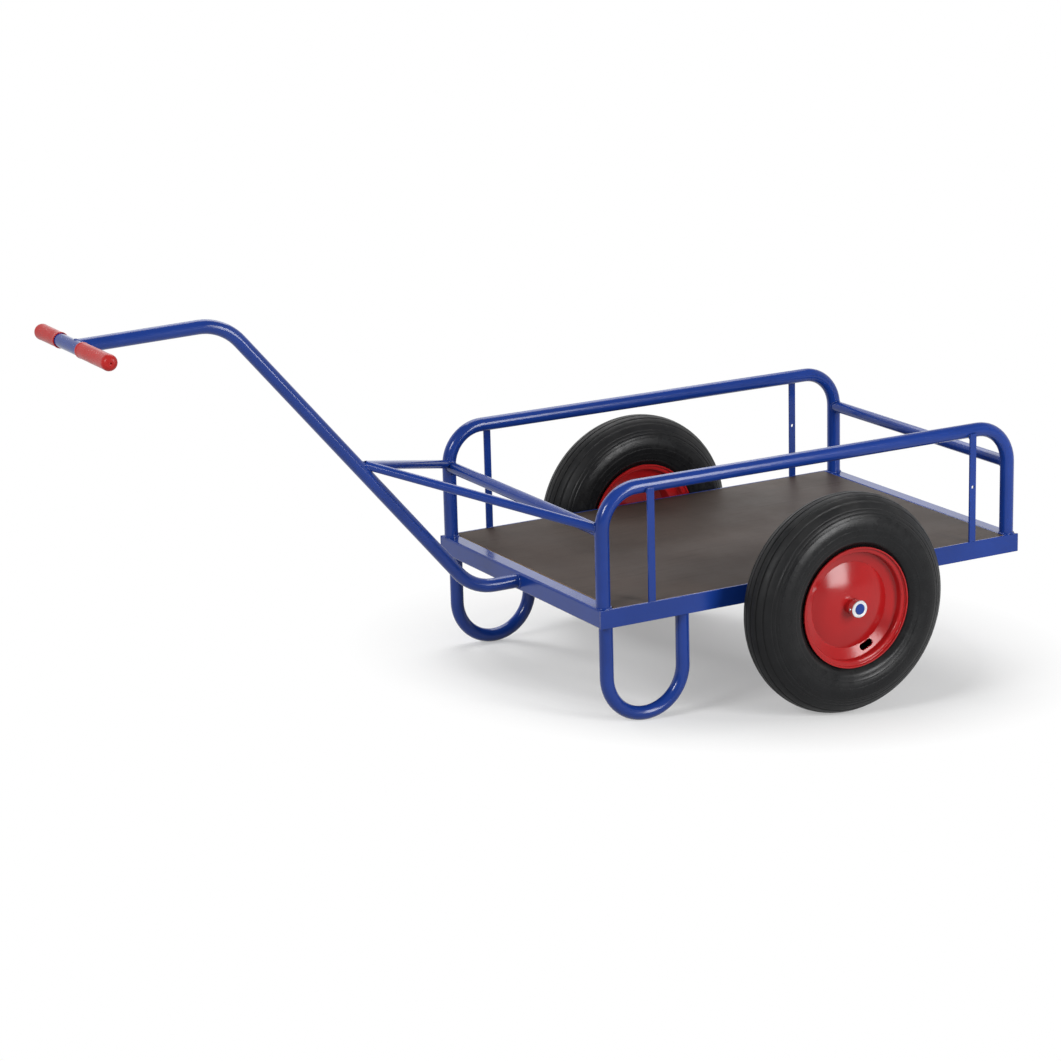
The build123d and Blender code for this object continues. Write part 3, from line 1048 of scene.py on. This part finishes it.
@dataclass
class Drawbar:
    """Bent drawbar with its two braces."""

    shop: Workshop
    load: LoadFrame
    hoops: SideHoops
    tube: float = 25.0
    angle: float = 49.7
    stub: float = 91.0
    stub_lift: float = 0.3
    stub_throat: float = 2.6
    brace_tube: float = 16.0
    brace_height: float = 140.0
    brace_run: float = 328.0
    brace_throat: float = 1.7
    brace_overlap: float = 0.5

    def build(self) -> None:
        """Dresses the tubes and lays their welds."""
        self.shop.dress(Slot.PAINT, "drawbar", "brace_left", "brace_right")
        self.shop.piece("drawbar_welds", self.welds(), Body.CHASSIS, Slot.PAINT)

    def welds(self) -> Work:
        """Beads at the frame's face, on the posts and where the braces meet the drawbar.

        Returns:
            The working mesh.
        """
        run = WeldRun()
        stance, stub_z = self.shop.stance, -self.load.height / 2
        stub = Tube(stance.point(self.stub_lift, 0.0, stub_z), stance.direction(1.0, 0.0, 0.0), self.tube)
        run.along(stub.ring(), closed=True, throat=self.stub_throat)
        slope_x, slope_z = math.cos(math.radians(self.angle)), math.sin(math.radians(self.angle))
        x, z = self.stub + self.brace_run * slope_x, stub_z + self.brace_run * slope_z
        slope = Tube(stance.point(x, 0.0, z), stance.direction(slope_x, 0.0, slope_z), self.tube)
        lift = self.tube / 2
        meeting = stance.point(x - lift * slope_z, 0.0, z + lift * slope_x)
        for side in Side:
            post = self.hoops.post(side, End.FRONT, self.brace_height)
            middle = (post.point + meeting) / 2
            seam = Tube(middle, post.point - middle, self.brace_tube).seam_on(post)
            run.along(seam, closed=True, throat=self.brace_throat)
            seam = Tube(middle, meeting - middle, self.brace_tube).seam_on(slope)
            outside = [point for point in seam if point.y * side.value > -self.brace_overlap * MM]
            run.along(self.in_order(outside), closed=False, throat=self.brace_throat)
        return run.work

    @staticmethod
    def in_order(points: Points) -> Points:
        """Starts an open seam after its one gap, so that it runs from end to end."""
        first = max(range(len(points)), key=lambda index: (points[index] - points[index - 1]).length)
        return points[first:] + points[:first]


@dataclass(frozen=True)
class GripShape:
    """Section of a vinyl grip, from its rolled open edge to its domed end with a vent."""

    diameter: float = 28.0
    cap: float = 10.0
    fit: float = 0.02
    face: float = 0.9
    roll: float = 1.2
    roll_middle: float = 0.35
    roll_steps: int = 5
    band_end: float = 4.0
    groove: Pair = (5.2, 8.0)
    groove_depth: float = 0.45
    waist_depth: float = 0.3
    waist_end: float = 16.0
    swell_end: float = 13.5
    dome_inset: float = 0.02
    dome_rise: float = 0.4
    dome_middle: float = 2.9
    dome_steps: int = 12
    vent: tuple[Pair, ...] = ((2.2, 0.0), (1.7, 0.3), (1.5, 2.0))
    vent_depth: float = 2.2
    pinhole: float = 0.02

    def outline(self, length: float, tube: float, tube_end: float) -> Profile:
        """Draws the closed section.

        Args:
            length: the grip's length.
            tube: diameter of the tube that it is on.
            tube_end: place of that tube's end along the handle.

        Returns:
            The section as radius and place along the handle.
        """
        end, radius, bore = tube_end + self.cap, self.diameter / 2, tube / 2 + self.fit
        start = end - length
        groove, waist = radius - self.groove_depth, radius - self.waist_depth
        section: Profile = [(bore, start), (bore + self.face, start)]
        section += arc_through(
            (radius - self.roll, start),
            (radius - self.roll_middle, start + self.roll_middle),
            (radius, start + self.roll),
            self.roll_steps,
        )
        section.append((radius, start + self.band_end))
        section += [(groove, start + place) for place in self.groove]
        section += [(waist, (start + end) / 2), (waist, end - self.waist_end)]
        section += [(radius, end - self.swell_end), (radius, end - self.cap)]
        section += arc_through(
            (radius - self.dome_inset, end - self.cap + self.dome_rise),
            (radius - self.dome_middle, end - self.dome_middle),
            (radius - self.cap, end),
            self.dome_steps,
        )
        section += [(reach, end - depth) for reach, depth in self.vent]
        section.append((self.pinhole, end - self.vent_depth))
        section += [(reach, tube_end + self.fit) for reach in (self.pinhole, bore)]
        return section


@dataclass
class Handle:
    """T-handle with its two vinyl grips."""

    shop: Workshop
    drawbar: Drawbar
    reach: float = 816.0
    height: float = 517.5
    tube: float = 24.0
    bend_x: float = 551.0
    bend_height: float = 525.0
    length: float = 300.0
    weld_throat: float = 1.9
    grip: GripShape = GripShape()
    grip_lengths: dict[Side, float] = field(default_factory=lambda: {Side.LEFT: 127.5, Side.RIGHT: 95.5})
    grip_steps: int = 56

    def build(self) -> None:
        """Dresses the tube, and puts on its weld and the grips."""
        self.shop.dress(Slot.PAINT, "handle_tube")
        middle = self.shop.stance.point(self.reach, 0.0, self.height)
        self.shop.piece("handle_weld", self.weld(middle), Body.CHASSIS, Slot.PAINT)
        for side in Side:
            outline = self.grip.outline(self.grip_lengths[side], self.tube, self.length / 2)
            sleeve = turned([(r, side.value * along) for r, along in outline], middle, self.grip_steps)
            name = f"grip_sleeve_{side.label}"
            self.shop.piece(name, sleeve, Body.CHASSIS, Slot.GRIP, f"grip_{side.label}")

    def weld(self, middle: Vector) -> Work:
        """Bead where the drawbar's end meets the handle's tube.

        Args:
            middle: middle of the handle's tube.

        Returns:
            The working mesh.
        """
        run = WeldRun(throat=self.weld_throat)
        bend = self.shop.stance.point(self.bend_x, 0.0, self.bend_height)
        end = Tube(bend, middle - bend, self.drawbar.tube)
        run.along(end.seam_on(Tube(middle, ACROSS, self.tube)), closed=True)
        return run.work


@dataclass
class FootLoops:
    """Bent loops under the front that the parked cart stands on."""

    shop: Workshop
    load: LoadFrame
    tube: float = 25.0
    inset: float = 20.0
    setback: float = 21.0
    span: float = 156.0
    weld_drop: float = 0.3

    def build(self) -> None:
        """Dresses the loops and lays the welds at their legs."""
        self.shop.dress(Slot.PAINT, "foot_loop_left", "foot_loop_right")
        run = WeldRun()
        stance, z = self.shop.stance, -self.load.height - self.weld_drop
        for side in Side:
            for x in (-self.setback, -self.setback - self.span):
                leg = Tube(stance.point(x, self.load.from_side(side, self.inset), z), stance.up, self.tube)
                run.along(leg.ring(), closed=True)
        self.shop.piece("foot_welds", run.work, Body.CHASSIS, Slot.PAINT)


@dataclass
class AxleGear:
    """Axle, its hangers and the set collars with their grub screws."""

    shop: Workshop
    setback: float = 463.0
    drop: float = 45.3
    track: float = 728.0
    hanger_edge: float = 0.6
    collar_offset: float = 44.8
    screw: float = 6.0
    screw_fit: float = 0.97
    screw_foot: float = 10.2
    screw_top: float = 15.0
    screw_chamfer: float = 0.4
    screw_steps: int = 24
    socket: float = 3.0
    socket_floor: float = 12.6
    socket_sides: int = 6

    def build(self) -> None:
        """Dresses the pieces and puts the grub screws in."""
        self.shop.dress(Slot.PAINT, "axle")
        self.shop.dress(Slot.PAINT, "axle_hanger_left", "axle_hanger_right", edge=self.hanger_edge)
        for side in Side:
            self.shop.dress(Slot.ZINC, f"collar_inner_{side.label}", f"collar_outer_{side.label}")
        self.shop.piece("grub_screws", self.screws(), Body.CHASSIS, Slot.ZINC)

    def screws(self) -> Work:
        """Socket grub screws, one in each collar.

        Returns:
            The working mesh.
        """
        work = bmesh.new()
        radius, socket = self.screw / 2 * self.screw_fit, self.socket / 2
        levels = (
            (radius, self.screw_foot, False),
            (radius, self.screw_top - self.screw_chamfer, False),
            (radius - self.screw_chamfer, self.screw_top, False),
            (socket, self.screw_top, True),
            (socket, self.socket_floor, True),
        )
        for side in Side:
            course = self.shop.stance.direction(side.value, 0.0, 0.0)
            for offset in (-self.collar_offset, self.collar_offset):
                y = side.value * (self.track / 2 + offset)
                axis = self.shop.stance.point(-self.setback, y, -self.drop)
                rings = []
                for size, reach, hexagonal in levels:
                    rings.append(self.screw_ring(axis + course * reach * MM, course, size, hexagonal))
                add_loft(work, rings, closed=False)
        return work

    def screw_ring(self, centre: Vector, course: Vector, size: float, hexagonal: bool) -> Points:
        """Points round a screw.

        Args:
            centre: middle of the ring, in metres.
            course: direction of the screw.
            size: radius, to the flats of a hexagon.
            hexagonal: whether the ring is a hexagon and not a circle.

        Returns:
            The points.
        """
        upright = course.cross(ACROSS)
        side = FULL_TURN / self.socket_sides
        ring = []
        for step in range(self.screw_steps):
            angle = FULL_TURN * step / self.screw_steps
            from_flat = (angle + side / 2) % side - side / 2
            reach = size / math.cos(from_flat) if hexagonal else size
            ring.append(centre + (ACROSS * math.cos(angle) + upright * math.sin(angle)) * reach * MM)
        return ring


@dataclass
class RoadWheel:
    """Pneumatic wheel: ribbed tyre, pressed rim and hub."""

    shop: Workshop
    side: Side
    diameter: float = 405.0
    width: float = 100.0
    bead_radius: float = 110.95
    bead_half: float = 34.55
    bead_width: float = 9.0
    bead_chamfer: float = 3.0
    seat_radius: float = 102.0
    shoulder_radius: float = 183.0
    shoulder_half: float = 38.0
    widest_radius: float = 152.0
    flank_wall: float = 7.0
    crown_wall: float = 9.0
    grooves: tuple[float, ...] = (6.0, 18.0, 30.0)
    groove_width: float = 2.5
    groove_depth: float = 2.5
    groove_round: float = 0.5
    groove_lip: tuple[Pair, ...] = ((0.9, 0.0), (0.25, 0.12), (-0.05, 0.6))
    groove_toe: float = 0.9
    rib_middle: float = 2.5
    rib_edge: float = 5.0
    # Radius, height and half width of each moulded ring on the flank
    ridges: tuple[Triple, ...] = (
        (179.0, -0.9, 0.9),
        (172.5, -0.9, 0.9),
        (166.0, 0.3, 0.8),
        (146.0, -0.3, 0.9),
        (134.0, 0.35, 0.8),
        (122.5, 1.8, 6.0),
    )
    flank_steps: int = 150
    inside_steps: int = 16
    steps: int = 168

    def build(self) -> None:
        """Dresses rim and hub and puts the tyre on."""
        label = self.side.label
        self.shop.dress(Slot.RIM, f"rim_{label}", f"hub_{label}")
        self.shop.piece(f"tyre_cover_{label}", self.tyre(), self.side.wheel, Slot.TYRE, f"tyre_{label}")

    @property
    def crown_arc(self) -> float:
        """Radius of the arc over the tread, from shoulder to shoulder."""
        rise = self.diameter / 2 - self.shoulder_radius
        return (self.shoulder_half**2 + rise**2) / (2 * rise)

    def crown(self, offset: float) -> float:
        """Radius of the tyre over the tread, at an offset from the middle plane."""
        return self.diameter / 2 - self.crown_arc + math.sqrt(self.crown_arc**2 - offset**2)

    def tread(self) -> Profile:
        """Half of the tread's outline, from the middle outwards.

        Returns:
            The outline as radius and place along the axle.
        """
        half, depth = self.groove_width / 2, self.groove_depth
        foot = ((-self.groove_round, depth - self.groove_round), (-self.groove_toe, depth))
        entry = [(-half - out, down) for out, down in self.groove_lip + foot]
        section = entry + [(-shift, down) for shift, down in reversed(entry)]
        outline: Profile = [(self.crown(place), place) for place in (0.0, self.rib_middle)]
        for groove in self.grooves:
            outline += [(self.crown(groove + shift) - down, groove + shift) for shift, down in section]
            outline.append((self.crown(groove + self.rib_edge), groove + self.rib_edge))
        return outline

    def flank(self) -> Profile:
        """Half of the side's outline, from the shoulder in to the bead, with its moulded rings.

        Returns:
            The outline as radius and place along the axle.
        """
        points = arc_through(
            (self.shoulder_radius, self.shoulder_half),
            (self.widest_radius, self.width / 2),
            (self.bead_radius, self.bead_half),
            self.flank_steps,
        )
        outline: Profile = []
        for radius, along in points:
            bump = sum(high * math.exp(-(((radius - ring) / wide) ** 2)) for ring, high, wide in self.ridges)
            outline.append((radius, min(along + bump, self.width / 2)))
        return outline

    def tyre(self) -> Work:
        """The tyre as one closed ring of rubber, resting on the rim's seats.

        Returns:
            The working mesh.
        """
        inside = arc_through(
            (self.bead_radius, self.bead_half - self.bead_width),
            (self.widest_radius, self.width / 2 - self.flank_wall),
            (self.shoulder_radius - self.crown_wall, self.shoulder_half - self.flank_wall),
            self.inside_steps,
        )
        bead: Profile = [
            (self.seat_radius + self.bead_chamfer, self.bead_half),
            (self.seat_radius, self.bead_half - self.bead_chamfer),
            (self.seat_radius, self.bead_half - self.bead_width),
        ]
        middle = [(self.diameter / 2 - self.crown_wall, 0.0)]
        half = self.tread() + self.flank() + bead + inside + middle
        mirrored = [(radius, -along) for radius, along in reversed(half[1:-1])]
        low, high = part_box(f"tyre_{self.side.label}")
        return turned(half + mirrored, (low + high) / 2, self.steps)


def facing(course: Vector) -> Quaternion:
    """Turn that points a lamp or the camera along a course, upright."""
    return course.to_track_quat("-Z", "Y")


@dataclass(frozen=True)
class Lamp:
    """One soft studio lamp; sizes in metres, power in watts."""

    name: str
    place: Triple
    aim: Triple
    size: Pair
    power: float
    mirrored: bool = True

    def build(self) -> None:
        """Hangs the lamp."""
        data = bpy.data.lights.new(self.name, "AREA")
        data.shape = "RECTANGLE"
        data.size, data.size_y = self.size
        data.energy = self.power
        lamp = stand(self.name, data)
        lamp.location = self.place
        lamp.visible_camera = False
        lamp.visible_glossy = self.mirrored
        lamp.rotation_mode = "QUATERNION"
        lamp.rotation_quaternion = facing(Vector(self.aim) - Vector(self.place))


@dataclass
class Studio:
    """White floor and surround, soft lamps and the camera; sizes in metres, lens in millimetres."""

    aim: Triple = (-0.00827, 0.0, 0.28670)
    azimuth: float = 150.2943
    elevation: float = 13.1001
    roll: float = 2.4557
    distance: float = 5.72784
    lens: float = 107.497
    sensor: float = 36.0
    sky: float = 0.35
    ceiling: float = 0.25
    ceiling_edge: Pair = (0.5, 0.78)
    room: float = 0.35
    room_edge: Pair = (-0.35, 0.15)
    floor_half: float = 14.0
    floor_tone: float = 0.43
    floor_roughness: float = 0.9
    floor_specular: float = 0.1
    floor_lift: float = 0.33
    shadow_middle: Pair = (-0.48, -0.08)
    shadow_half: Pair = (0.72, 0.68)
    shadow_fade: Pair = (0.7, 1.0)
    lamps: tuple[Lamp, ...] = (
        Lamp("lamp_left", place=(-1.46, 3.0, 1.33), aim=(-1.46, 0.0, 0.6), size=(1.0, 2.0), power=107.0),
        Lamp("lamp_front", place=(3.4, 1.6, 2.2), aim=(0.0, 0.0, 0.3), size=(1.2, 1.2), power=115.0),
        Lamp("lamp_back", place=(-1.0, -1.9, 3.0), aim=(-1.0, -0.6, 0.0), size=(2.8, 2.2), power=80.0),
        Lamp("lamp_sweep", place=(-2.2, -4.0, 1.4), aim=(-0.3, 0.0, 0.4), size=(4.0, 2.0), power=12.0),
        Lamp("lamp_far", (0.9, -3.6, 1.6), aim=(0.0, 0.0, 0.3), size=(1.4, 1.4), power=75.0, mirrored=False),
    )

    def build(self) -> None:
        """Sets up surround, floor, lamps and camera."""
        bpy.context.scene.view_settings.view_transform = "Standard"
        self.surround()
        self.floor()
        for lamp in self.lamps:
            lamp.build()
        self.camera()

    def camera(self) -> None:
        """Puts the camera at the photograph's angle."""
        turn, rise = math.radians(self.azimuth), math.radians(self.elevation)
        back = Vector((math.sin(turn) * math.cos(rise), -math.cos(turn) * math.cos(rise), math.sin(rise)))
        data = bpy.data.cameras.new("camera")
        data.lens = self.lens
        data.sensor_width = self.sensor
        camera = stand("camera", data)
        camera.location = Vector(self.aim) + back * self.distance
        camera.rotation_mode = "QUATERNION"
        lean = Quaternion((0.0, 0.0, 1.0), math.radians(self.roll))
        camera.rotation_quaternion = facing(-back) @ lean
        bpy.context.scene.camera = camera

    def surround(self) -> None:
        """White to the eye, a white backdrop before a darker room in reflections, softer as a light."""
        world = bpy.data.worlds.new("surround")
        world.use_nodes = True
        board = NodeBoard(world.node_tree)
        course = board.add("ShaderNodeTexCoord").outputs["Generated"]
        turn = math.radians(self.azimuth)
        ahead = board.measure("DOT_PRODUCT", course, (-math.sin(turn), math.cos(turn), 0.0))
        backdrop = board.spread(ahead, *self.room_edge, to_low=self.room)
        height = board.component(course, "Z")
        overhead = board.spread(height, *self.ceiling_edge, to_low=1.0, to_high=self.ceiling)
        path = board.add("ShaderNodeLightPath").outputs
        mirrored = board.math("MINIMUM", backdrop, overhead)
        strength = board.between(path["Is Glossy Ray"], self.sky, mirrored)
        seen = board.math("MAXIMUM", path["Is Camera Ray"], path["Is Transmission Ray"])
        inputs = {"Color": WHITE, "Strength": board.between(seen, strength, 1.0)}
        board.feed(world.node_tree.nodes["Background"], inputs)
        bpy.context.scene.world = world

    def floor(self) -> None:
        """Lays a plain white floor."""
        work = bmesh.new()
        half = self.floor_half
        corners = ((-half, -half), (half, -half), (half, half), (-half, half))
        work.faces.new([work.verts.new((x, y, 0.0)) for x, y in corners])
        mesh = finished_mesh("floor", work)
        mesh.materials.append(self.floor_material())
        floor = stand("floor", mesh)

    def floor_material(self) -> bpy.types.Material:
        """White that keeps the cart's shadow and runs out into the surround; clear from below.

        Returns:
            The material.
        """
        material = bpy.data.materials.new("floor_white")
        material.use_nodes = True
        board = NodeBoard(material.node_tree)
        skin = material.node_tree.nodes["Principled BSDF"]
        matt = {
            "Base Color": (self.floor_tone, self.floor_tone, self.floor_tone, 1.0),
            "Roughness": self.floor_roughness,
            "Specular IOR Level": self.floor_specular,
        }
        board.feed(skin, matt)
        path = board.add("ShaderNodeLightPath").outputs
        seen = board.math("MAXIMUM", path["Is Camera Ray"], path["Is Glossy Ray"])
        seen = board.math("MAXIMUM", seen, path["Is Transmission Ray"])
        strength = board.math("MULTIPLY", seen, self.floor_lift)
        lift = board.add("ShaderNodeEmission", {"Color": WHITE, "Strength": strength})
        near = board.add("ShaderNodeAddShader", {0: skin.outputs[0], 1: lift.outputs[0]})
        glow = board.add("ShaderNodeEmission", {"Color": WHITE, "Strength": 1.0})
        (middle_x, middle_y), (half_x, half_y) = self.shadow_middle, self.shadow_half
        scaled = board.stretch(board.place(), (1 / half_x, 1 / half_y, 0.0))
        reach = board.measure("DISTANCE", scaled, (middle_x / half_x, middle_y / half_y, 0.0))
        far = board.math("MULTIPLY", board.spread(reach, *self.shadow_fade), seen)
        above = board.shader_mix(far, near.outputs[0], glow.outputs[0])
        below = board.add("ShaderNodeBsdfTransparent").outputs[0]
        backfacing = board.add("ShaderNodeNewGeometry").outputs["Backfacing"]
        surface = {"Surface": board.shader_mix(backfacing, above, below)}
        board.feed(material.node_tree.nodes["Material Output"], surface)
        return material


def rgb(red: float, green: float, blue: float) -> Colour:
    """An opaque colour in linear light."""
    return red, green, blue, 1.0


def finishes(tilt: float, axle: Vector) -> dict[Slot, Finish]:
    """The cart's finishes by slot.

    Args:
        tilt: the parked cart's nose-down angle, which the plywood's layers follow.
        axle: a point on the axle's axis.

    Returns:
        A finish for each slot.
    """
    return {
        Slot.PAINT: BakedPaint(
            name="blue_baked_paint", tone=rgb(0.006, 0.030, 0.19), deep=rgb(0.005, 0.026, 0.165),
            roughness=0.18, specular=0.3, dust_amount=0.01, peel=170.0, peel_depth=0.00004,
        ),
        Slot.RIM: BakedPaint(
            name="red_baked_paint", tone=rgb(0.30, 0.008, 0.009), deep=rgb(0.265, 0.006, 0.007),
            roughness=0.17, specular=0.28, dust_amount=0.005, peel=170.0, peel_depth=0.00008,
        ),
        Slot.DECK: FilmPlywood(
            name="film_faced_plywood", tone=rgb(0.052, 0.039, 0.033), deep=rgb(0.041, 0.030, 0.025),
            streak=rgb(0.028, 0.021, 0.018), pale_veneer=rgb(0.36, 0.27, 0.17),
            dark_veneer=rgb(0.23, 0.155, 0.09), roughness=0.5, specular=0.06, ply=1.4, tilt=tilt,
        ),
        Slot.TYRE: TyreRubber(
            name="black_tyre_rubber", tone=rgb(0.0082, 0.0085, 0.0092), deep=rgb(0.006, 0.0062, 0.0068),
            roughness=0.28, specular=0.16, dust_amount=0.04, pebble=1500.0, pebble_depth=0.00006,
            axle=axle, flank_radius=168.0, tread_radius=186.0, dulling=0.2,
        ),
        Slot.GRIP: Moulding(
            name="red_grip_vinyl", tone=rgb(0.35, 0.017, 0.016), deep=rgb(0.32, 0.014, 0.013),
            roughness=0.3, specular=0.14, dust_amount=0.01, pebble=1200.0, pebble_depth=0.00002,
        ),
        Slot.ZINC: BrightZinc(
            name="bright_zinc", tone=rgb(0.78, 0.79, 0.81), deep=rgb(0.62, 0.63, 0.65), roughness=0.22,
        ),
    }


def main() -> None:
    """Builds the dressed cart and its studio."""
    logging.basicConfig(level=logging.INFO, format="%(message)s")
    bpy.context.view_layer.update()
    stance = Stance.from_record(frame["record"], LoadFrame.length)
    GroupShelf().build()
    low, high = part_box("axle")
    chosen = finishes(stance.tilt, (low + high) / 2)
    materials = {slot: finish.make() for slot, finish in chosen.items()}
    shop = Workshop(stance, materials)
    load = LoadFrame(shop)
    load.build()
    hoops = SideHoops(shop, load)
    hoops.build()
    drawbar = Drawbar(shop, load, hoops)
    drawbar.build()
    Handle(shop, drawbar).build()
    FootLoops(shop, load).build()
    AxleGear(shop).build()
    for side in Side:
        RoadWheel(shop, side).build()
    Studio().build()


if __name__ == "__main__":
    main()
